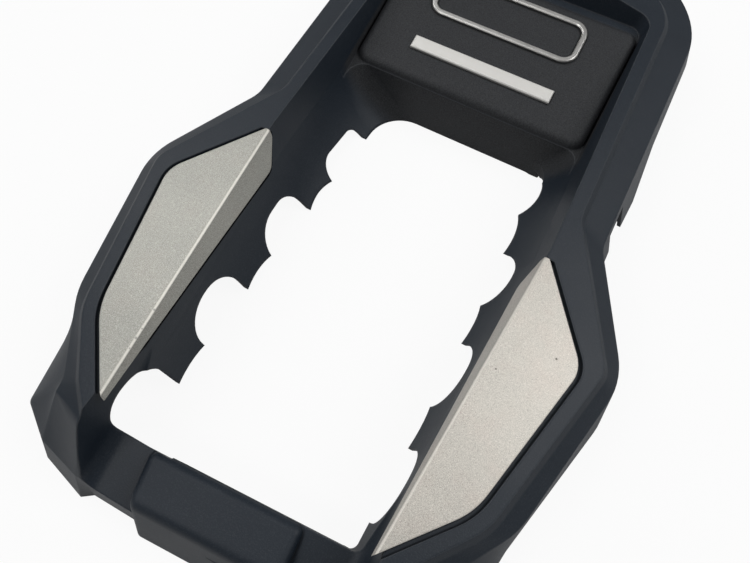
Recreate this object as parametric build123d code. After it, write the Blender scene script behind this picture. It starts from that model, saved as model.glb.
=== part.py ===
from build123d import *
import os
from math import atan2, cos, degrees, hypot, radians, sin, tan

# Engine cover of a V8: a moulded frame with a scalloped central opening.
# Millimetres, z up from the resting plane, x to the right, y to the rear.

# Moulding
wall = 3.0

# Roof of each half: it falls outward from a virtual apex over the centre line
roof_apex = 99.0
roof_fall = 10.0
rear_crown = 88.0
band_drop = 11.0
skirt_low = 32.0

# Outer edge of the sloping band, right half, rear to front
edge_rear_y = 308.0
edge_rear_half = 157.0
edge_rear_radius = 72.0
edge_waist_y = 11.0
edge_waist_half = 152.5
edge_waist_radius = 25.0
edge_wing_y = -77.0
edge_wing_half = 201.0
edge_wing_radius = 50.0
edge_shoulder_y = -202.0
edge_shoulder_half = 172.5
edge_shoulder_radius = 60.0
edge_heel_y = -257.0
edge_heel_half = 135.5
edge_heel_radius = 16.0
edge_nose_y = -267.0
edge_nose_half = 134.0
edge_knee_y = -283.0
edge_knee_half = 98.0

# Crease between the sloping band and the flat inner band
crease_rear_y = 269.5
crease_rear_half = 126.5
crease_rear_radius = 40.0
crease_waist_y = 17.0
crease_waist_half = 127.5
crease_waist_radius = 20.0
crease_wing_y = -82.0
crease_wing_half = 185.0
crease_wing_radius = 18.0
crease_shoulder_y = -211.0
crease_shoulder_half = 153.0
crease_shoulder_radius = 50.0
crease_heel_y = -253.0
crease_heel_half = 119.0
crease_heel_radius = 20.0
crease_nose_y = -275.0
crease_nose_half = 95.0
crease_nose_length = 5.0

# Small step from the crease down to the sloping band
step_width = 4.0
step_drop = 4.5

# Lower edge of the skirt
skirt_rear_y = 322.0
skirt_rear_half = 163.5
skirt_rear_radius = 72.0
skirt_waist_y = 11.0
skirt_waist_half = 162.5
skirt_waist_radius = 25.0
skirt_wing_y = -98.0
skirt_wing_half = 204.0
skirt_wing_radius = 50.0
skirt_shoulder_y = -214.0
skirt_shoulder_half = 174.5
skirt_shoulder_radius = 40.0
skirt_corner_y = -282.0
skirt_corner_half = 163.5
skirt_corner_radius = 6.0
skirt_toe_y = -299.0
skirt_toe_half = 138.0
skirt_knee_y = -307.0
skirt_knee_half = 103.0

# Apron under the nose and the crossbar
apron_toe_y = -310.0
apron_toe_half = 143.0
apron_knee_y = -320.5
apron_knee_half = 104.0
apron_front_y = -315.0
apron_front_half = 96.0
apron_rear_y = -270.0

# Central opening: half widths at the resting plane, at the turn and at the ridge level.
# Its walls curve inward below the turn and are straight above it.
ridge_level = 80.0
turn_level = 50.0
opening_low_rear_y = 93.0
opening_low_rear_half = 69.0
opening_low_waist_half = 76.0
opening_low_front_half = 83.0
opening_turn_rear_half = 109.5
opening_turn_waist_half = 111.0
opening_turn_front_half = 92.4
opening_high_rear_y = 99.0
opening_high_rear_half = 116.0
opening_high_waist_half = 117.0
opening_high_front_half = 98.0
opening_waist_y = -19.0
opening_left_y = -268.0
opening_right_y = -260.0
opening_rear_left_radius = 33.0
opening_rear_right_radius = 20.0
opening_high_rear_radius = 6.0
opening_left_radius = 32.0
opening_right_radius = 6.0
opening_bottom = -10.0
corner_level = 18.0
opening_top = 92.0

# Arches in the inner wall, one for each intake runner
arch_pitch = 91.5
arch_count = 4
arch_width = 57.0
arch_radius = 28.0
arch_round = 1.4
arch_reach = 108.0
arch_start = 50.0
arch_tilt = 2.0
left_arch_y = 25.5
left_round = 0.75
left_crown = 13.5
left_crown_rise = 11.0
left_crown_growth = 1.4
right_arch_y = 63.7
right_round = 1.4
right_crown = 20.0
right_crown_rise = 9.0
right_crown_growth = 0.7
left_lip_rear = -3.5
left_lip_front = 14.0
right_lip_rear = 8.5
right_lip_front = 18.0
scoop_radius = 70.0
scoop_depth = 3.0

# Rear pad and the recess round it
recess_front_y = 75.0
recess_high_rear_y = 236.0
recess_low_rear_y = 228.0
recess_low = 45.0
recess_bottom = 42.0
recess_radius = 12.0
pad_front_height = 52.0
pad_slope = 8.5
pad_rise = 6.0
pad_front_half = 108.5
pad_rear_half = 112.0
pad_rear_y = 224.0
pad_front_y = 96.0
pad_front_radius = 12.0
pad_rear_radius = 12.0
pad_edge_radius = 8.0

# Front crossbar and the lower necks beside it
neck_half = 97.0
neck_draft = 8.0
neck_rear_height = 35.0
neck_slope = 16.0
neck_radius = 12.0
bar_rear_y = -264.0
bar_left = -66.0
bar_left_slant = 8.0
bar_right = 52.0
bar_height = 42.0
bar_front_top_y = -301.0
bar_front_low_y = -319.5
bar_rear_radius = 7.0
bar_front_radius = 12.0
bar_end_radius = 6.0

# Trim inserts and their pockets, right half
line_waist_y = -19.0
line_waist_half = 117.0
line_wing_y = -89.0
line_wing_half = 172.5
line_wing_radius = 22.0
line_shoulder_y = -208.0
line_shoulder_half = 144.0
line_shoulder_radius = 55.0
line_nose_y = -262.0
line_nose_half = 97.0
insert_gap = 3.5
insert_thickness = 3.0
insert_proud = 0.8
facet_rear_y = -43.0
facet_rear_height = 50.0
facet_rise = 6.85
facet_radius = 8.0
heel_top_y = -27.0
heel_top_radius = 6.0
ridge_chamfer = 1.2
facet_gap = 0.3

# Rubber grommets on posts, each one a socket for a ball stud
post_rear_y = 205.0
post_rear_half = 139.0
post_front_y = -100.0
post_front_half = 150.0
post_radius = 5.5
post_depth = 7.0
post_rib = 3.0
grommet_bottom = 36.0
grommet_height = 18.0
grommet_radius = 9.0
flange_radius = 11.5
flange_height = 2.0
ball_radius = 5.0
ball_depth = 9.0

# Ribs under the roof
rib_first_y = 250.0
rib_pitch = 62.0
rib_count = 8
rib_thickness = 2.2
rib_depth = 16.0

# Pointed tongue on each rear skirt and the notch in front of it
tongue_rear_y = 150.0
tongue_low_y = 97.0
tongue_low = 17.0
tongue_tip_y = 60.0
tongue_tip = 27.0
notch_front_y = 30.0
notch_height = 53.0

# Bright trim on the pad
frame_length = 140.0
frame_height = 46.0
frame_radius = 14.0
frame_width = 5.0
frame_thickness = 3.0
frame_y = 188.0
bar_trim_length = 132.0
bar_trim_height = 13.0
bar_trim_thickness = 3.0
bar_trim_y = 130.0
trim_chamfer = 1.0

least_radius = 0.5
reach = 900.0
fall = tan(radians(roof_fall))


def roof_plane(drop=0.0):
    """Plane of the right half's roof, lowered by drop."""
    angle = radians(roof_fall)
    return Plane(
        origin=(0, 0, roof_apex - drop),
        x_dir=(cos(angle), 0, -sin(angle)),
        z_dir=(sin(angle), 0, cos(angle)),
    )


def rounded_face(points, radii, plane=Plane.XY):
    """Closed outline with rounded corners, as a face on a plane."""
    return plane * make_face(FilletPolyline(*points, radius=radii, close=True))


def on_roof(points):
    """Plan points of the right half in the tilted roof plane's own axes."""
    return [(x / cos(radians(roof_fall)), y) for x, y in points]


def inset(points, amount):
    """Outline from rear centre to front centre, moved inward; its ends stay on the centre line."""
    normals = []
    for (x0, y0), (x1, y1) in zip(points, points[1:]):
        length = hypot(x1 - x0, y1 - y0)
        normals.append(((y1 - y0) / length, (x0 - x1) / length))
    moved = [(0, points[0][1] + amount / normals[0][1])]
    for (x, y), (ax, ay), (bx, by) in zip(points[1:-1], normals, normals[1:]):
        share = amount / (1 + ax * bx + ay * by)
        moved.append((x + (ax + bx) * share, y + (ay + by) * share))
    moved.append((0, points[-1][1] + amount / normals[-1][1]))
    return moved


def both_halves(half):
    return half + mirror(half, about=Plane.YZ)


def under(plane):
    """Everything below a plane."""
    return plane * Box(reach, reach, reach, align=(Align.CENTER, Align.CENTER, Align.MAX))


def over(plane):
    """Everything above a plane."""
    return plane * Box(reach, reach, reach, align=(Align.CENTER, Align.CENTER, Align.MIN))


# Outer form

skirt_path = [
    (0, skirt_rear_y),
    (skirt_rear_half, skirt_rear_y),
    (skirt_waist_half, skirt_waist_y),
    (skirt_wing_half, skirt_wing_y),
    (skirt_shoulder_half, skirt_shoulder_y),
    (skirt_corner_half, skirt_corner_y),
    (skirt_toe_half, skirt_toe_y),
    (skirt_knee_half, skirt_knee_y),
    (0, skirt_knee_y),
]
skirt_radii = [
    0,
    skirt_rear_radius,
    skirt_waist_radius,
    skirt_wing_radius,
    skirt_shoulder_radius,
    skirt_corner_radius,
    0,
    0,
    0,
]
edge_path = [
    (0, edge_rear_y),
    (edge_rear_half, edge_rear_y),
    (edge_waist_half, edge_waist_y),
    (edge_wing_half, edge_wing_y),
    (edge_shoulder_half, edge_shoulder_y),
    (edge_heel_half, edge_heel_y),
    (edge_nose_half, edge_nose_y),
    (edge_knee_half, edge_knee_y),
    (0, edge_knee_y),
]
edge_radii = [
    0,
    edge_rear_radius,
    edge_waist_radius,
    edge_wing_radius,
    edge_shoulder_radius,
    edge_heel_radius,
    0,
    0,
    0,
]
crease_path = [
    (0, crease_rear_y),
    (crease_rear_half, crease_rear_y),
    (crease_waist_half, crease_waist_y),
    (crease_wing_half, crease_wing_y),
    (crease_shoulder_half, crease_shoulder_y),
    (crease_heel_half, crease_heel_y),
    (crease_nose_half + crease_nose_length, crease_nose_y + crease_nose_length),
    (crease_nose_half, crease_nose_y),
    (0, crease_nose_y),
]


crease_radii = [
    0,
    crease_rear_radius,
    crease_waist_radius,
    crease_wing_radius,
    crease_shoulder_radius,
    crease_heel_radius,
    0,
    0,
    0,
]
# Where the hollow's lines lie inside the outer ones, as shares of the wall: sideways and down
skirt_share = (1.0, 0.33)
edge_share = (1.0, 0.5)
foot_share = (0.65, 0.8)
crease_share = (0.5, 1.0)


def roof_section(path, radii, drop, depth, share):
    """Section of the half at a drop below the roof, or of the hollow when depth is the wall."""
    aside, down = share
    return rounded_face(on_roof(inset(path, depth * aside)), radii, roof_plane(drop + depth * down))


def half_body(depth):
    """Right half of the outer form, or of the hollow under it when depth is the wall."""
    aside, down = skirt_share
    skirt = rounded_face(
        inset(skirt_path, depth * aside), skirt_radii, Plane.XY.offset(skirt_low - depth * down)
    )
    edge = roof_section(edge_path, edge_radii, band_drop, depth, edge_share)
    foot = roof_section(inset(crease_path, -step_width), crease_radii, step_drop, depth, foot_share)
    crease = roof_section(crease_path, crease_radii, 0, depth, crease_share)
    return loft([skirt, edge, foot, crease], ruled=True)


def apron_form(depth):
    """Front apron that reaches down to the resting plane."""
    low = [
        (0, apron_front_y),
        (apron_front_half, apron_front_y),
        (apron_knee_half, apron_knee_y),
        (apron_toe_half, apron_toe_y),
        (apron_toe_half, apron_rear_y),
        (0, apron_rear_y),
    ]
    high = [
        (0, skirt_knee_y),
        (apron_front_half, skirt_knee_y),
        (skirt_knee_half, skirt_knee_y),
        (skirt_toe_half, skirt_toe_y),
        (skirt_toe_half, apron_rear_y),
        (0, apron_rear_y),
    ]
    faces = []
    lap = depth * skirt_share[1]
    for path, level in ((low, -lap), (high, skirt_low + lap)):
        points = list(reversed(inset(list(reversed(path)), depth)))
        faces.append(rounded_face(points, [0] * len(points), Plane.XY.offset(level)))
    half = loft(faces, ruled=True)
    return both_halves(half)


def between(low, high, level):
    """Value at a level of something that changes evenly from the resting plane to the ridge."""
    return low + (high - low) * level / ridge_level


def wall_half(low, turn, high, level, grow):
    """Half width at a level, straight above the turn and curving inward below it; grow is square to it."""
    slope = (high - turn) / (ridge_level - turn_level)
    curve = (turn - low - slope * turn_level) / turn_level**2
    below = max(turn_level - level, 0)
    lean = slope + 2 * curve * below
    return turn + slope * (level - turn_level) - curve * below**2 + grow * hypot(1, lean)


def waist_half(level, grow):
    """Half width between the inner walls at the waist."""
    return wall_half(
        opening_low_waist_half, opening_turn_waist_half, opening_high_waist_half, level, grow
    )


def flank_half(level, y, grow):
    """Half width between the inner walls in front of the waist."""
    waist = waist_half(level, grow)
    front = wall_half(
        opening_low_front_half, opening_turn_front_half, opening_high_front_half, level, grow
    )
    return waist + (front - waist) * (y - opening_waist_y) / (opening_right_y - opening_waist_y)


def side_half(level, y, grow):
    """Half width between the inner walls behind the waist."""
    waist = waist_half(level, grow)
    rear = wall_half(opening_low_rear_half, opening_turn_rear_half, opening_high_rear_half, level, grow)
    rear_y = between(opening_low_rear_y, opening_high_rear_y, level)
    return waist + (rear - waist) * (y - opening_waist_y) / (rear_y - opening_waist_y)


def opening_section(level, grow, side_level):
    """Outline of the central opening at one level, with its sides as wide as at the side level."""
    rear_y = between(opening_low_rear_y, opening_high_rear_y, level) + grow
    rear = side_half(side_level, rear_y, grow)
    waist = waist_half(side_level, grow)
    points = [
        (rear, rear_y),
        (waist, opening_waist_y),
        (flank_half(side_level, opening_right_y, grow), opening_right_y - grow),
        (-flank_half(side_level, opening_left_y, grow), opening_left_y - grow),
        (-waist, opening_waist_y),
        (-rear, rear_y),
    ]
    right = max(between(opening_rear_right_radius, opening_high_rear_radius, level), least_radius)
    left = max(between(opening_rear_left_radius, opening_high_rear_radius, level), least_radius)
    radii = [right, 0, opening_right_radius, opening_left_radius, 0, left]
    radii = [radius + grow if radius else 0 for radius in radii]
    return rounded_face(points, radii, Plane.XY.offset(level))


def opening_form(grow):
    """Central opening, upright low in its right rear corner; grow thickens it for the wall round it."""
    low_levels = (opening_bottom, (opening_bottom + turn_level) / 2, turn_level)
    high_levels = (turn_level, opening_top)
    corner_levels = (opening_bottom, corner_level)
    curved = loft([opening_section(level, grow, level) for level in low_levels])
    straight = loft([opening_section(level, grow, level) for level in high_levels], ruled=True)
    upright = loft([opening_section(level, grow, corner_level) for level in corner_levels], ruled=True)
    corner = Pos(0, right_arch_y, opening_bottom) * Box(reach, reach, reach, align=Align.MIN)
    return curved + straight + (upright & corner)


def flank_form(grow):
    """Space between the straight walls that carry the trim, past both ends of the trim."""
    faces = []
    for level in (turn_level, 2 * ridge_level):
        ends = (0, 2 * opening_right_y)
        side = [(flank_half(level, y, grow), y) for y in ends]
        points = side + [(-x, y) for x, y in reversed(side)]
        faces.append(rounded_face(points, [0] * len(points), Plane.XY.offset(level)))
    return loft(faces, ruled=True)


# Cavities cut from above, each also used thicker to leave its wall


def pad_plane(rise=0.0):
    """Plane of the pad's top, which climbs to the rear."""
    angle = radians(pad_slope)
    normal = Vector(0, -sin(angle), cos(angle))
    origin = Vector(0, opening_low_rear_y, pad_front_height) + normal * rise
    return Plane(origin=origin, x_dir=(1, 0, 0), z_dir=normal)


def on_pad(y):
    """Plan y as a place along the pad's slope."""
    return (y - opening_low_rear_y) / cos(radians(pad_slope))


def recess_form(grow):
    """Recess behind the opening, between the same inner walls and a drafted rear wall."""
    faces = []
    for level in (recess_bottom, turn_level, 2 * ridge_level):
        share = (level - recess_low) / (ridge_level - recess_low)
        rear_y = recess_low_rear_y + (recess_high_rear_y - recess_low_rear_y) * share + grow
        front = side_half(level, recess_front_y, grow)
        rear = side_half(level, rear_y, grow)
        points = [(-front, recess_front_y), (front, recess_front_y), (rear, rear_y), (-rear, rear_y)]
        corner = recess_radius + grow
        faces.append(rounded_face(points, [0, 0, corner, corner], Plane.XY.offset(level)))
    return loft(faces, ruled=True) & over(pad_plane(-pad_rise - grow))


def neck_form(grow):
    """Trough that lowers the front between the two noses."""
    slope = radians(neck_slope)
    plane = Plane(
        origin=(0, apron_rear_y, neck_rear_height),
        x_dir=(1, 0, 0),
        z_dir=(0, -cos(slope), -sin(slope)),
    )
    half = neck_half + grow
    rim = half + roof_apex * tan(radians(neck_draft))
    points = [(-half, -grow), (half, -grow), (rim, roof_apex), (-rim, roof_apex)]
    corner = neck_radius + grow
    face = rounded_face(points, [corner, corner, 0, 0], plane)
    return extrude(face, roof_apex, both=True)


# Moulded cover


def bar_end(x, slant, depth):
    """Section of the bar at one end, in a plane turned by the slant."""
    angle = radians(slant)
    plane = Plane(origin=(x, 0, 0), x_dir=(-sin(angle), cos(angle), 0), z_dir=(cos(angle), sin(angle), 0))
    stretch = 1 / cos(angle)
    points = [
        (-depth * stretch, -depth),
        (-depth * stretch, bar_height - depth),
        ((bar_front_top_y - bar_rear_y + depth / 2) * stretch, bar_height - depth),
        ((bar_front_low_y - bar_rear_y + depth) * stretch, -depth),
    ]
    rear_radius = max(bar_rear_radius - depth, wall / 2)
    front_radius = max(bar_front_radius - depth, wall / 2)
    return rounded_face(points, [0, rear_radius, front_radius, 0], plane)


def bar_form(depth):
    """Raised bar across the front, rounded along its edges, in line with the opening's front end."""
    skew = degrees(atan2(opening_right_y - opening_left_y, 2 * opening_low_front_half))
    ends = [bar_end(bar_left + depth, bar_left_slant, depth), bar_end(bar_right - depth, 0, depth)]
    bar = loft(ends, ruled=True)
    if depth == 0:
        outer = bar.faces().sort_by(Axis.X)
        rims = (outer[:1] + outer[-1:]).edges().filter_by(lambda edge: edge.center().Z > wall)
        bar = fillet(rims, bar_end_radius)
    return Pos(0, bar_rear_y) * Rotation(0, 0, skew) * bar


def pad_form():
    """Plateau with soft edges; its front carries on the rear wall of the opening."""
    front = on_pad(pad_front_y)
    rear = on_pad(pad_rear_y)
    points = [
        (-pad_front_half, front),
        (pad_front_half, front),
        (pad_rear_half, rear),
        (-pad_rear_half, rear),
    ]
    radii = [pad_front_radius, pad_front_radius, pad_rear_radius, pad_rear_radius]
    block = extrude(rounded_face(points, radii, pad_plane(-pad_rise - wall)), pad_rise + wall)
    top = block.faces().sort_by(Axis((0, 0, 0), pad_plane().z_dir))[-1]
    return fillet(top.edges(), pad_edge_radius) - opening_form(0)


insert_length = line_waist_y - line_nose_y
line_path = [
    (line_waist_half, line_waist_y),
    (line_wing_half, line_wing_y),
    (line_shoulder_half, line_shoulder_y),
    (line_nose_half, line_nose_y),
]


def trim_prism(shrink):
    """Upright prism of the insert's plan outline, open towards the central opening."""
    points = inset([(0, line_waist_y)] + line_path + [(0, line_nose_y)], shrink)
    corners = [0, 0, line_wing_radius, line_shoulder_radius, 0, 0]
    return extrude(rounded_face(points, corners), 2 * roof_apex)


def facet_profile(margin):
    """Side view of the insert: its facet's lower edge climbs to the front, its heel leans to the rear."""
    rise = radians(facet_rise)
    apex_height = roof_apex - opening_high_waist_half * fall
    lean = atan2(apex_height - facet_rear_height, line_waist_y - insert_gap - facet_rear_y)
    facet_normal = Vector(-sin(rise), -cos(rise))
    heel_normal = Vector(sin(lean), -cos(lean))
    spread = (facet_normal + heel_normal) * (margin / (1 + facet_normal.dot(heel_normal)))
    low_y = facet_rear_y + spread.X
    low_z = facet_rear_height + spread.Y
    top_y = heel_top_y + margin
    points = [
        (low_y, low_z),
        (top_y, low_z + (top_y - low_y) * tan(lean)),
        (top_y, reach),
        (-reach, reach),
        (-reach, low_z + (low_y + reach) * tan(rise)),
    ]
    radii = [facet_radius + margin, heel_top_radius + margin, 0, 0, 0]
    return extrude(rounded_face(points, radii, Plane.YZ), reach)


def trim_space(shrink, top_depth, side_depth, margin):
    """Space over the ridge, down to the given depths below the roof and behind the inner wall."""
    core = under(roof_plane(top_depth)) - flank_form(side_depth)
    space = trim_prism(shrink) - core
    return space & facet_profile(margin)


def insert_form():
    """Trim insert of the right half: a plate bent over the ridge, a little proud of the roof."""
    plate = trim_space(insert_gap, insert_thickness, insert_thickness, 0)
    plate = (plate & under(roof_plane(-insert_proud))) - flank_form(-insert_proud)
    ridge = plate.edges().filter_by(lambda edge: edge.length > insert_length / 2).sort_by(Axis.Z)[-1]
    return chamfer(ridge, ridge_chamfer)


def side_cut(points, radii, side):
    """Profile seen from the side, cut sideways through the inner wall of one side only."""
    start = arch_start if side > 0 else -arch_reach
    face = rounded_face(points, radii, Plane.YZ.offset(start))
    return extrude(face, arch_reach - arch_start)


def arch_form(side, front, rear, crown, roundness):
    """Arch over one intake runner, a little higher towards the front."""
    low = crown - arch_width
    points = [(front, low), (front, crown + arch_tilt / 2), (rear, crown - arch_tilt / 2), (rear, low)]
    limit = min(arch_radius, (rear - front - arch_tilt) / 2)
    return side_cut(points, [0, min(limit, arch_round * crown), min(limit, roundness * crown), 0], side)


def scalloped_edge(side, end_y, first_y, crowns, lip_rear, lip_front):
    """All arches of one side, with the lip and the shallow scoops between them."""
    rear = first_y + arch_width / 2
    roundness, crown, rise, growth = crowns
    lip = [(end_y, -arch_width), (end_y, lip_front), (rear, lip_rear), (rear, -arch_width)]
    cut = side_cut(lip, [0, 0, 0, 0], side)
    for index in range(arch_count):
        y = first_y - arch_pitch * index
        front = max(y - arch_width / 2, end_y)
        height = crown + rise * index + growth * index**2
        cut += arch_form(side, front, y + arch_width / 2, height, roundness)
    for index in range(arch_count - 1):
        y = first_y - arch_pitch * (index + 0.5)
        lip_here = lip_rear + (lip_front - lip_rear) * (rear - y) / (rear - end_y)
        scoop = Rotation(0, 90, 0) * Cylinder(scoop_radius, arch_reach - arch_start)
        middle = side * (arch_reach + arch_start) / 2
        cut += Pos(middle, y, lip_here + scoop_depth - scoop_radius) * scoop
    return cut


def post_places():
    """Name, x and y of each post."""
    places = []
    rear = ("rear", post_rear_half, post_rear_y)
    front = ("front", post_front_half, post_front_y)
    for end, half, y in (rear, front):
        places.append((end + "_left", -half, y))
        places.append((end + "_right", half, y))
    return places


def post_form():
    """Post for one grommet, with crossed ribs that its top end seats against."""
    bottom = (Align.CENTER, Align.CENTER, Align.MIN)
    post = Pos(0, 0, grommet_height - post_depth) * Cylinder(post_radius, roof_apex, align=bottom)
    ribs = Box(2 * grommet_radius, post_rib, roof_apex, align=bottom)
    ribs += Box(post_rib, 2 * grommet_radius, roof_apex, align=bottom)
    return post + Pos(0, 0, grommet_height) * ribs


def grommet_form():
    """Rubber grommet: flange, body, the hole for its post and the bore that snaps over a ball stud."""
    bottom = (Align.CENTER, Align.CENTER, Align.MIN)
    body = Cylinder(grommet_radius, grommet_height, align=bottom)
    body += Cylinder(flange_radius, flange_height, align=bottom)
    body -= Pos(0, 0, grommet_height - post_depth) * Cylinder(post_radius, post_depth, align=bottom)
    return body - Cylinder(ball_radius, ball_depth, align=bottom)


def rib_slabs():
    """Cross ribs under both halves of the roof."""
    bottom = (Align.MIN, Align.CENTER, Align.MIN)
    slabs = None
    for index in range(rib_count):
        slab = Box(reach, rib_thickness, roof_apex, align=bottom)
        slab = Pos(0, rib_first_y - rib_pitch * index, 0) * slab
        slabs = slab if slabs is None else slabs + slab
    return both_halves(slabs & over(roof_plane(wall + rib_depth)))


def tongue_form():
    """Pointed tongue that carries on the right rear skirt below its lower edge."""
    skirt_height = roof_apex - band_drop - edge_waist_half * fall - skirt_low
    flare = (skirt_waist_half - edge_waist_half) / skirt_height
    spread = flare * (skirt_low - tongue_low)
    sheets = []
    for depth in (0, wall):
        low = rounded_face(inset(skirt_path, depth - spread), skirt_radii, Plane.XY.offset(tongue_low))
        high = rounded_face(inset(skirt_path, depth), skirt_radii, Plane.XY.offset(skirt_low))
        sheets.append(loft([low, high], ruled=True))
    points = [
        (tongue_rear_y, skirt_low),
        (tongue_low_y, tongue_low),
        (tongue_tip_y, tongue_tip),
        (tongue_tip_y, skirt_low),
    ]
    profile = extrude(rounded_face(points, [0] * len(points), Plane.YZ), reach)
    return (sheets[0] - sheets[1]) & profile


def notch_form():
    """Skirt cut away in front of the tongue."""
    box = Box(reach, tongue_tip_y - notch_front_y, notch_height, align=(Align.MIN, Align.MIN, Align.MIN))
    return Pos(opening_high_rear_half + 2 * wall, notch_front_y, 0) * box


def cover_form():
    """The whole moulding: outer form, hollow below, cavities above, inner wall, ribs and posts."""
    crown = Plane.XY.offset(rear_crown)
    low_wall = opening_form(wall) & over(Plane.XY) & under(Plane.XY.offset(skirt_low + wall))
    solid = (both_halves(half_body(0)) & under(crown)) + apron_form(0) + low_wall
    solid = solid - neck_form(0) + bar_form(0)
    hollow = (both_halves(half_body(wall)) & under(crown.offset(-wall))) + apron_form(wall)
    hollow = hollow - neck_form(wall) + bar_form(wall)
    hollow = hollow - opening_form(wall) - recess_form(wall) - rib_slabs()
    bay_depth = insert_thickness + wall
    hollow -= both_halves(trim_space(-wall, bay_depth, bay_depth + facet_gap, wall))
    for _, x, y in post_places():
        hollow -= Pos(x, y, grommet_bottom) * post_form()
    solid = solid - hollow - opening_form(0) - recess_form(0)
    solid = solid + both_halves(tongue_form()) - both_halves(notch_form())
    solid += pad_form()
    pocket = trim_space(0, insert_thickness, insert_thickness + facet_gap, facet_gap)
    solid -= both_halves(pocket)
    left_crowns = (left_round, left_crown, left_crown_rise, left_crown_growth)
    right_crowns = (right_round, right_crown, right_crown_rise, right_crown_growth)
    solid -= scalloped_edge(-1, opening_left_y, left_arch_y, left_crowns, left_lip_rear, left_lip_front)
    solid -= scalloped_edge(1, opening_right_y, right_arch_y, right_crowns, right_lip_rear, right_lip_front)
    return solid


def badge_frame_form():
    """Plain bright frame with rounded corners on the pad."""
    outside = RectangleRounded(frame_length, frame_height, frame_radius)
    inside = RectangleRounded(
        frame_length - 2 * frame_width, frame_height - 2 * frame_width, frame_radius - frame_width
    )
    solid = extrude(pad_plane() * Pos(0, on_pad(frame_y)) * (outside - inside), frame_thickness)
    return chamfer(solid.faces().sort_by(Axis((0, 0, 0), pad_plane().z_dir))[-1].edges(), trim_chamfer)


def badge_bar_form():
    """Plain bright bar on the pad, in front of the frame."""
    face = pad_plane() * Pos(0, on_pad(bar_trim_y)) * Rectangle(bar_trim_length, bar_trim_height)
    solid = extrude(face, bar_trim_thickness)
    return chamfer(solid.faces().sort_by(Axis((0, 0, 0), pad_plane().z_dir))[-1].edges(), trim_chamfer)


insert_right = insert_form()
nodes = {
    "cover": cover_form(),
    "insert_right": insert_right,
    "insert_left": mirror(insert_right, about=Plane.YZ),
    "badge_frame": badge_frame_form(),
    "badge_bar": badge_bar_form(),
}
for place, x, y in post_places():
    nodes["grommet_" + place] = Pos(x, y, grommet_bottom) * grommet_form()

os.makedirs("parts", exist_ok=True)
for name, shape in nodes.items():
    export_step(shape, "parts/" + name + ".step")
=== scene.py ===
import bpy
from mathutils import Matrix, Vector

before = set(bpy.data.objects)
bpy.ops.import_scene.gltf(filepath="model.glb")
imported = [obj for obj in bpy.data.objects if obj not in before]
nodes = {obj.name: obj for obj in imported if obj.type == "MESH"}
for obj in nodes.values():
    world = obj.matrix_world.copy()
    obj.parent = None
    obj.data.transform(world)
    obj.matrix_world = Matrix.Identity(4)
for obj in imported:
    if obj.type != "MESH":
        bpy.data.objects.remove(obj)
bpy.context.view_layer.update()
scene = bpy.context.scene

# Place of the grained pad, in metres: front and rear edges, half width, and its sloping plane
pad_front = (0.076, 0.088)
pad_rear = (0.222, 0.228)
pad_half = (0.1105, 0.1125)
pad_over = (0.001, 0.0022)
pad_level = 0.052
pad_start = 0.093
pad_climb = 0.1495

# Ridge of the inserts, where a highlight is painted, in metres: half width and height at its front end
ridge_front = -0.2549
ridge_half = 0.09854
ridge_height = 0.08182
ridge_highlight_reach = (0.0005, 0.0011)

# Change of the ridge's half width and height for each metre to the rear
ridge_spread = 0.07626
ridge_fall = -0.01343

# Lower and rear edge of the inserts' facets, in metres, and how far a line of painted shade reaches from
# each stretch
facet_corners = (
    (0.09661, -0.25711, 0.07572),
    (0.10808, -0.04768, 0.05056),
    (0.10853, -0.04349, 0.05119),
    (0.10930, -0.04024, 0.05382),
    (0.11437, -0.02700, 0.07408),
)
shade_line_widths = (0.0035, 0.0034, 0.003, 0.0026)
shade_line_core = 0.8
painted_shade_strength = 0.9

# Wear of the silver paint: dark specks on the right insert, chips along the left ridge
dark_specks = (
    ((0.1505, -0.0919, 0.0733), 0.00095),
    ((0.1166, -0.1198, 0.0792), 0.0007),
)
ridge_chips = (
    ((-0.1033, -0.1920, 0.0810), 0.0010),
    ((-0.1022, -0.2068, 0.0812), 0.0007),
    ((-0.1017, -0.2139, 0.0813), 0.0011),
    ((-0.1011, -0.2216, 0.0814), 0.0007),
)
spot_core = 0.6

# Samples and limits of the edge and crevice masks
bevel_samples = 6
crevice_samples = 8
edge_span = (0.93, 0.998)
crevice_span = (0.25, 0.9)

# Shares of a mask that grows or fades, and the usual spans of a noise
rising = (0.0, 1.0)
fading = (1.0, 0.0)
cloud_span = (0.35, 0.65)
rough_span = (0.3, 0.7)


# Node helpers
def new_material(name):
    material = bpy.data.materials.new(name)
    material.use_nodes = True
    material.node_tree.nodes.clear()
    return material, material.node_tree


def put(tree, node, name, value):
    socket = node.inputs[int(name)] if name.isdigit() else node.inputs[name]
    if isinstance(value, bpy.types.NodeSocket):
        tree.links.new(value, socket)
    else:
        socket.default_value = value


def add(tree, kind, settings=None, **inputs):
    node = tree.nodes.new(kind)
    for key, value in (settings or {}).items():
        setattr(node, key, value)
    for key, value in inputs.items():
        put(tree, node, key.replace("_", " "), value)
    return node


def noise(tree, where, texture):
    """A noise, given by its scale, detail and roughness."""
    scale, detail, roughness = texture
    node = add(tree, "ShaderNodeTexNoise", Vector=where, Scale=scale, Detail=detail, Roughness=roughness)
    return node.outputs["Fac"]


def remap(tree, value, span, result):
    node = add(tree, "ShaderNodeMapRange", {"clamp": True})
    put(tree, node, "Value", value)
    for name, number in zip(("From Min", "From Max", "To Min", "To Max"), (*span, *result)):
        put(tree, node, name, number)
    return node.outputs["Result"]


def math(tree, operation, *values):
    node = add(tree, "ShaderNodeMath", {"operation": operation})
    for index, value in enumerate(values):
        put(tree, node, str(index), value)
    return node.outputs["Value"]


def vector(tree, operation, *values):
    node = add(tree, "ShaderNodeVectorMath", {"operation": operation})
    for index, value in enumerate(values):
        put(tree, node, str(index), value)
    return node


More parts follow.
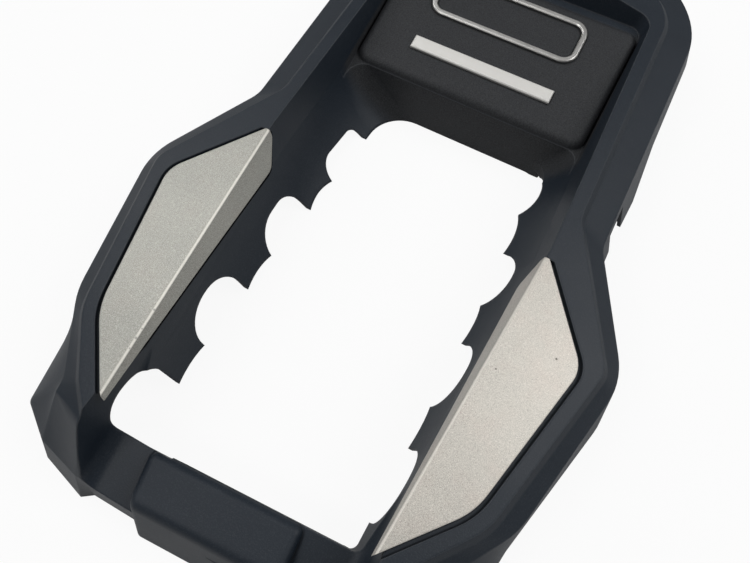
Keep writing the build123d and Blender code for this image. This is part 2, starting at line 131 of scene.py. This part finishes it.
def mix(tree, factor, first, second):
    node = add(tree, "ShaderNodeMix", {"data_type": "RGBA"})
    put(tree, node, "0", factor)
    put(tree, node, "6", first)
    put(tree, node, "7", second)
    return node.outputs[2]


def bump(tree, height, relief, normal):
    """A bumped normal; the relief is a strength and a depth in metres."""
    strength, depth = relief
    node = add(tree, "ShaderNodeBump", Height=height, Strength=strength, Distance=depth, Normal=normal)
    return node.outputs["Normal"]


def soft_edges(tree, radius):
    return add(tree, "ShaderNodeBevel", {"samples": bevel_samples}, Radius=radius).outputs["Normal"]


def edge_mask(tree, radius, share):
    """The share on sharp edges, zero on flat surfaces."""
    true = add(tree, "ShaderNodeNewGeometry").outputs["Normal"]
    node = vector(tree, "DOT_PRODUCT", soft_edges(tree, radius), true)
    return remap(tree, node.outputs["Value"], edge_span, (share, 0.0))


def spots(tree, where, places, share):
    """The share inside any of the small round places, zero outside them."""
    covered = 0.0
    for point, radius in places:
        distance = vector(tree, "DISTANCE", where, point).outputs["Value"]
        spot = remap(tree, distance, (radius * spot_core, radius), (share, 0.0))
        covered = math(tree, "MAXIMUM", spot, covered)
    return covered


def shader(tree, **inputs):
    node = add(tree, "ShaderNodeBsdfPrincipled", **inputs)
    out = tree.nodes.new("ShaderNodeOutputMaterial")
    tree.links.new(node.outputs["BSDF"], out.inputs["Surface"])
    return node


def place(tree):
    return add(tree, "ShaderNodeTexCoord").outputs["Object"]


def half_axes(tree, where):
    """Distance from the middle plane, place along the part and height."""
    axes = add(tree, "ShaderNodeSeparateXYZ", Vector=where)
    return math(tree, "ABSOLUTE", axes.outputs["X"]), axes.outputs["Y"], axes.outputs["Z"]


def pad_mask(tree, where):
    """One on the pad and the wall below its front, zero on the walls beside it."""
    x, y, z = half_axes(tree, where)
    along = math(tree, "SUBTRACT", y, pad_start)
    plane = math(tree, "MULTIPLY_ADD", along, pad_climb, pad_level)
    behind = remap(tree, y, pad_front, rising)
    before = remap(tree, y, pad_rear, fading)
    between = remap(tree, x, pad_half, fading)
    below = remap(tree, math(tree, "SUBTRACT", z, plane), pad_over, fading)
    within = math(tree, "MULTIPLY", math(tree, "MULTIPLY", behind, before), between)
    return math(tree, "MULTIPLY", within, below)


def ridge_mask(tree, where, share):
    """The share of painted highlight along the inserts' ridge, zero beside it."""
    x, y, z = half_axes(tree, where)
    along = math(tree, "SUBTRACT", y, ridge_front)
    aside = math(tree, "SUBTRACT", x, math(tree, "MULTIPLY_ADD", along, ridge_spread, ridge_half))
    above = math(tree, "SUBTRACT", z, math(tree, "MULTIPLY_ADD", along, ridge_fall, ridge_height))
    square = math(tree, "MULTIPLY_ADD", aside, aside, math(tree, "MULTIPLY", above, above))
    return remap(tree, math(tree, "SQRT", square), ridge_highlight_reach, (share, 0.0))


def line_distance(tree, point, start, end):
    """Distance from the straight line between two points."""
    span = Vector(end) - Vector(start)
    offset = vector(tree, "SUBTRACT", point, start).outputs["Vector"]
    along = vector(tree, "DOT_PRODUCT", offset, span).outputs["Value"]
    share = remap(tree, along, (0.0, span.length_squared), rising)
    nearest = vector(tree, "MULTIPLY_ADD", span, share, start).outputs["Vector"]
    return vector(tree, "DISTANCE", point, nearest).outputs["Value"]


def facet_grime(tree, where):
    """The narrow line of painted shade under the inserts' facets and behind their heels."""
    x, y, z = half_axes(tree, where)
    point = add(tree, "ShaderNodeCombineXYZ", X=x, Y=y, Z=z).outputs["Vector"]
    covered = 0.0
    for start, end, width in zip(facet_corners, facet_corners[1:], shade_line_widths):
        distance = line_distance(tree, point, start, end)
        # A dark line of painted shade along each stretch of the facet's foot
        line = remap(tree, distance, (shade_line_core * width, width), (painted_shade_strength, 0.0))
        covered = math(tree, "MAXIMUM", line, covered)
    return covered


def crevices(tree, reach):
    """Painted shade deep in narrow gaps and inner corners, zero on open surfaces."""
    node = add(tree, "ShaderNodeAmbientOcclusion", {"samples": crevice_samples}, Distance=reach)
    return remap(tree, node.outputs["AO"], crevice_span, (painted_shade_strength, 0.0))


# Moulded plastic: its noises, reliefs and reaches
plastic_grain = (1150.0, 2.0, 0.6)
plastic_pores = (520.0, 2.0, 0.5)
plastic_clouds = (14.0, 3.0, 0.5)
grain_relief = (0.34, 0.0003)
pore_relief = (0.1, 0.0004)
plastic_rounding = 0.0022
plastic_wear_and_highlight_reach = 0.0012
plastic_wear_and_highlight_share = 0.7
crevice_reach = 0.0025
glint_span = (0.5, 0.7)
glint_share = 0.8
eroded_span = (0.38, 0.66)

# Moulded plastic: its colours
satin_dark = (0.0068, 0.0112, 0.0178, 1.0)
satin_pale = (0.0088, 0.0137, 0.0208, 1.0)
satin_glint = (0.021, 0.0265, 0.034, 1.0)
eroded_dark = (0.0098, 0.0108, 0.0126, 1.0)
eroded_pale = (0.0295, 0.031, 0.0338, 1.0)
# Lighter colour of sharp edges: partly wear, partly painted highlight
worn_and_highlit_plastic = (0.062, 0.068, 0.076, 1.0)
# Near-black colour of the painted shade in gaps and crevices
painted_shade_colour = (0.0016, 0.0018, 0.002, 1.0)

# Moulded plastic: its gloss
satin_rough = (0.46, 0.54)
grain_rough = (-0.03, 0.04)
pad_roughening = 0.1
gap_roughening = 0.35
plastic_specular = 0.3
plastic_ior = 1.5


# Blue-black plastic, satin on the frame, with a neutral eroded grain on the pad
def cover_plastic():
    material, tree = new_material("cover_plastic")
    where = place(tree)
    pad = pad_mask(tree, where)
    grain = noise(tree, where, plastic_grain)
    pores = noise(tree, where, plastic_pores)
    clouds = noise(tree, where, plastic_clouds)
    satin = mix(tree, remap(tree, clouds, cloud_span, rising), satin_dark, satin_pale)
    # The lighter flecks in the satin grain are painted glints
    satin = mix(tree, remap(tree, grain, glint_span, (0.0, glint_share)), satin, satin_glint)
    eroded = mix(tree, remap(tree, grain, eroded_span, rising), eroded_dark, eroded_pale)
    base = mix(tree, pad, satin, eroded)
    # Sharp edges made lighter: partly wear, partly painted highlight
    worn_and_highlit = mix(tree, edge_mask(tree, plastic_wear_and_highlight_reach, plastic_wear_and_highlight_share), base, worn_and_highlit_plastic)
    # Painted shade in crevices and along the facets' feet
    gap = math(tree, "MAXIMUM", crevices(tree, crevice_reach), facet_grime(tree, where))
    shaded = mix(tree, gap, worn_and_highlit, painted_shade_colour)
    cloudy_rough = remap(tree, clouds, rough_span, satin_rough)
    rough = math(tree, "ADD", cloudy_rough, remap(tree, grain, rough_span, grain_rough))
    rough = math(tree, "MULTIPLY_ADD", pad, pad_roughening, rough)
    rough = math(tree, "MULTIPLY_ADD", gap, gap_roughening, rough)
    normal = soft_edges(tree, plastic_rounding)
    normal = bump(tree, pores, pore_relief, normal)
    normal = bump(tree, grain, grain_relief, normal)
    # Metallic follows the painted shade in the gaps, so they lose the plastic's sheen too
    node = shader(tree, Base_Color=shaded, Roughness=rough, Metallic=gap, Normal=normal)
    put(tree, node, "Specular IOR Level", plastic_specular)
    put(tree, node, "IOR", plastic_ior)
    return material


# Silver paint: its noises, relief, reaches and gloss
paint_flake = (2100.0, 2.0, 0.6)
paint_stains = (48.0, 3.0, 0.55)
paint_clouds = (18.0, 2.0, 0.5)
flake_relief = (0.2, 0.0002)
paint_rounding = 0.0012
paint_highlight_reach = 0.0012
stain_span = (0.45, 0.7)
dull_flake_span = (0.28, 0.5)
bright_flake_span = (0.52, 0.74)
paint_rough = (0.42, 0.56)
paint_metallic = 0.45
paint_specular = 0.4

# Silver paint: how much of each layer covers the one below
stain_share = 0.5
dull_flake_share = 0.8
bright_flake_share = 0.7
paint_edge_highlight_share = 0.5
ridge_highlight_share = 0.6
speck_share = 1.0
chip_share = 0.6

# Silver paint: colours that both inserts share
dull_flake = (0.17, 0.167, 0.153, 1.0)
bright_flake = (0.78, 0.76, 0.7, 1.0)
# Paint colour of the painted highlight on sharp edges
edge_highlight_paint = (0.68, 0.66, 0.605, 1.0)
# Colour of the painted highlight along the ridge
ridge_highlight_colour = (0.76, 0.735, 0.67, 1.0)
speck_colour = (0.075, 0.066, 0.058, 1.0)
chip_colour = (0.16, 0.155, 0.145, 1.0)

# Silver paint of each insert: its low and high tone and its stains; one paint in lit and shaded copies,
# the left painted darker and cooler, the right lighter and warmer
silver_tones_lit_and_shaded = {
    "left": ((0.315, 0.314, 0.284, 1.0), (0.348, 0.345, 0.311, 1.0), (0.334, 0.315, 0.282, 1.0)),
    "right": ((0.425, 0.402, 0.362, 1.0), (0.468, 0.441, 0.396, 1.0), (0.44, 0.384, 0.342, 1.0)),
}


# Silver paint with fine sandy flake, faint warm stains, a painted highlight on its edges and ridge, a few
# dark specks and chips
def silver_paint(name, low, high, stain):
    material, tree = new_material(name)
    where = place(tree)
    flake = noise(tree, where, paint_flake)
    stains = noise(tree, where, paint_stains)
    clouds = noise(tree, where, paint_clouds)
    base = mix(tree, remap(tree, clouds, cloud_span, rising), low, high)
    base = mix(tree, remap(tree, stains, stain_span, (0.0, stain_share)), base, stain)
    dull = mix(tree, remap(tree, flake, dull_flake_span, (dull_flake_share, 0.0)), base, dull_flake)
    sandy = mix(tree, remap(tree, flake, bright_flake_span, (0.0, bright_flake_share)), dull, bright_flake)
    # Painted highlight on the sharp edges
    edge_lit = mix(tree, edge_mask(tree, paint_highlight_reach, paint_edge_highlight_share), sandy, edge_highlight_paint)
    # Painted highlight along the ridge
    ridge_lit = mix(tree, ridge_mask(tree, where, ridge_highlight_share), edge_lit, ridge_highlight_colour)
    specked = mix(tree, spots(tree, where, dark_specks, speck_share), ridge_lit, speck_colour)
    chipped = mix(tree, spots(tree, where, ridge_chips, chip_share), specked, chip_colour)
    rough = remap(tree, flake, rough_span, paint_rough)
    normal = bump(tree, flake, flake_relief, soft_edges(tree, paint_rounding))
    node = shader(tree, Base_Color=chipped, Roughness=rough, Metallic=paint_metallic, Normal=normal)
    put(tree, node, "Specular IOR Level", paint_specular)
    return material


# Trim of the pad: its noises, relief and rounding
trim_clouds = (60.0, 3.0, 0.5)
trim_grain = (1400.0, 2.0, 0.5)
trim_relief = (0.05, 0.0001)
trim_rounding = 0.0008
trim_dull_span = (0.35, 0.7)
trim_dull_share = 0.5
trim_grain_rough = (-0.02, 0.03)

# Each trim piece's material: name, bright and dull colour, least and most roughness, metallic share
trims = {
    "badge_frame": ("plated_trim", (0.66, 0.65, 0.625, 1.0), (0.54, 0.53, 0.51, 1.0), (0.3, 0.4), 1.0),
    "badge_bar": ("satin_trim", (0.66, 0.65, 0.62, 1.0), (0.6, 0.59, 0.562, 1.0), (0.42, 0.52), 0.4),
}


# Plated and satin trim
def trim_metal(name, bright, dull, roughness, metallic):
    material, tree = new_material(name)
    where = place(tree)
    clouds = noise(tree, where, trim_clouds)
    grain = noise(tree, where, trim_grain)
    base = mix(tree, remap(tree, clouds, trim_dull_span, (0.0, trim_dull_share)), bright, dull)
    cloudy_rough = remap(tree, clouds, rough_span, roughness)
    rough = math(tree, "ADD", cloudy_rough, remap(tree, grain, rough_span, trim_grain_rough))
    normal = bump(tree, grain, trim_relief, soft_edges(tree, trim_rounding))
    shader(tree, Base_Color=base, Roughness=rough, Metallic=metallic, Normal=normal)
    return material


# Rubber: its noises, relief, rounding, colours and gloss
rubber_dust = (90.0, 4.0, 0.5)
rubber_grain = (1800.0, 2.0, 0.5)
rubber_relief = (0.15, 0.0002)
rubber_rounding = 0.0006
dust_span = (0.4, 0.75)
dust_share = 0.6
clean_rubber = (0.012, 0.012, 0.013, 1.0)
dusty_rubber = (0.035, 0.034, 0.033, 1.0)
rubber_rough = (0.68, 0.85)
rubber_specular = 0.35


# Rubber of the grommets
def grommet_rubber():
    material, tree = new_material("grommet_rubber")
    where = place(tree)
    dust = noise(tree, where, rubber_dust)
    grain = noise(tree, where, rubber_grain)
    base = mix(tree, remap(tree, dust, dust_span, (0.0, dust_share)), clean_rubber, dusty_rubber)
    rough = remap(tree, dust, rough_span, rubber_rough)
    normal = bump(tree, grain, rubber_relief, soft_edges(tree, rubber_rounding))
    node = shader(tree, Base_Color=base, Roughness=rough, Normal=normal)
    put(tree, node, "Specular IOR Level", rubber_specular)
    return material


def dress(node, material):
    mesh = nodes[node].data
    mesh.materials.clear()
    mesh.materials.append(material)


rubber = grommet_rubber()
dress("cover", cover_plastic())
# The inserts get lit and shaded copies of one silver paint
for side, tones in silver_tones_lit_and_shaded.items():
    dress("insert_" + side, silver_paint("silver_" + side, *tones))
for node, trim in trims.items():
    dress(node, trim_metal(*trim))
for node in nodes:
    if node.startswith("grommet"):
        dress(node, rubber)

# Pale floor that keeps the shadow: its size and level in metres, its grey and its glow
floor_half = 4.0
floor_level = -0.0006
floor_grey = (0.64, 0.64, 0.64, 1.0)
seen_glow = 0.92
mirrored_glow = 0.25
white = (1.0, 1.0, 1.0, 1.0)


def pale_floor():
    material, tree = new_material("pale_floor")
    diffuse = add(tree, "ShaderNodeBsdfDiffuse", Color=floor_grey)
    glow = add(tree, "ShaderNodeEmission", Color=white, Strength=1.0)
    path = add(tree, "ShaderNodeLightPath")
    mirrored = math(tree, "MAXIMUM", path.outputs["Is Glossy Ray"], path.outputs["Is Transmission Ray"])
    share = math(tree, "MAXIMUM", math(tree, "MULTIPLY", path.outputs["Is Camera Ray"], seen_glow),
                 math(tree, "MULTIPLY", mirrored, mirrored_glow))
    blend = tree.nodes.new("ShaderNodeMixShader")
    put(tree, blend, "0", share)
    put(tree, blend, "1", diffuse.outputs["BSDF"])
    put(tree, blend, "2", glow.outputs["Emission"])
    out = tree.nodes.new("ShaderNodeOutputMaterial")
    tree.links.new(blend.outputs["Shader"], out.inputs["Surface"])
    return material


floor_signs = ((-1, -1), (1, -1), (1, 1), (-1, 1))
floor_corners = [(x * floor_half, y * floor_half, floor_level) for x, y in floor_signs]
floor_mesh = bpy.data.meshes.new("floor")
floor_mesh.from_pydata(floor_corners, [], [(0, 1, 2, 3)])
floor_mesh.materials.append(pale_floor())
floor = bpy.data.objects.new("floor", floor_mesh)
scene.collection.objects.link(floor)

# Soft studio light: world level, then each softbox's place, size and power
world_level = 0.14
world_tint = (0.97, 0.98, 1.0, 1.0)
softboxes = {
    "key_box": ((1.15, 0.55, 1.5), (1.1, 1.1), 21.0),
    "top_box": ((-0.7, 0.2, 1.86), (1.2, 1.2), 10.5),
    "left_box": ((-1.5, 0.4, 1.2), (0.9, 0.9), 8.5),
    "rear_box": ((-0.2, 1.6, 1.1), (0.8, 0.6), 1.0),
    "front_box": ((-0.75, -1.1, 1.5), (0.8, 0.6), 9.5),
}
light_target = (0.0, 0.0, 0.05)


def studio_world():
    world = bpy.data.worlds.new("studio")
    world.use_nodes = True
    tree = world.node_tree
    tree.nodes.clear()
    path = add(tree, "ShaderNodeLightPath")
    lit = add(tree, "ShaderNodeBackground", Color=world_tint, Strength=world_level)
    seen = add(tree, "ShaderNodeBackground", Color=white, Strength=1.0)
    blend = tree.nodes.new("ShaderNodeMixShader")
    put(tree, blend, "0", path.outputs["Is Camera Ray"])
    put(tree, blend, "1", lit.outputs["Background"])
    put(tree, blend, "2", seen.outputs["Background"])
    out = tree.nodes.new("ShaderNodeOutputWorld")
    tree.links.new(blend.outputs["Shader"], out.inputs["Surface"])
    return world


def softbox(name, position, size, power):
    light = bpy.data.lights.new(name, "AREA")
    light.shape = "RECTANGLE"
    light.size, light.size_y = size
    light.energy = power
    lamp = bpy.data.objects.new(name, light)
    lamp.location = position
    aim = Vector(light_target) - Vector(position)
    lamp.rotation_euler = aim.to_track_quat("-Z", "Y").to_euler()
    scene.collection.objects.link(lamp)


scene.world = studio_world()
for name, (position, size, power) in softboxes.items():
    softbox(name, position, size, power)

# Camera at the photograph's place, in metres, with its focal length in the photograph's pixels
camera_position = Vector((0.0874, -0.2553, 0.4616))
camera_right = Vector((0.884, 0.467, 0.025))
camera_up = Vector((-0.4363, 0.8049, 0.4023))
camera_forward = Vector((-0.1678, 0.3665, -0.9152))
focal_pixels = 600.0
image_width = 750.0
sensor_width = 36.0
nearest_seen = 0.01
camera_data = bpy.data.cameras.new("camera")
camera_data.sensor_fit = "HORIZONTAL"
camera_data.sensor_width = sensor_width
camera_data.lens = focal_pixels / image_width * sensor_width
camera_data.clip_start = nearest_seen
camera = bpy.data.objects.new("camera", camera_data)
axes = Matrix((camera_right, camera_up, -camera_forward)).transposed()
camera.matrix_world = Matrix.Translation(camera_position) @ axes.to_4x4()
scene.collection.objects.link(camera)
scene.camera = camera

scene.view_settings.view_transform = "Standard"
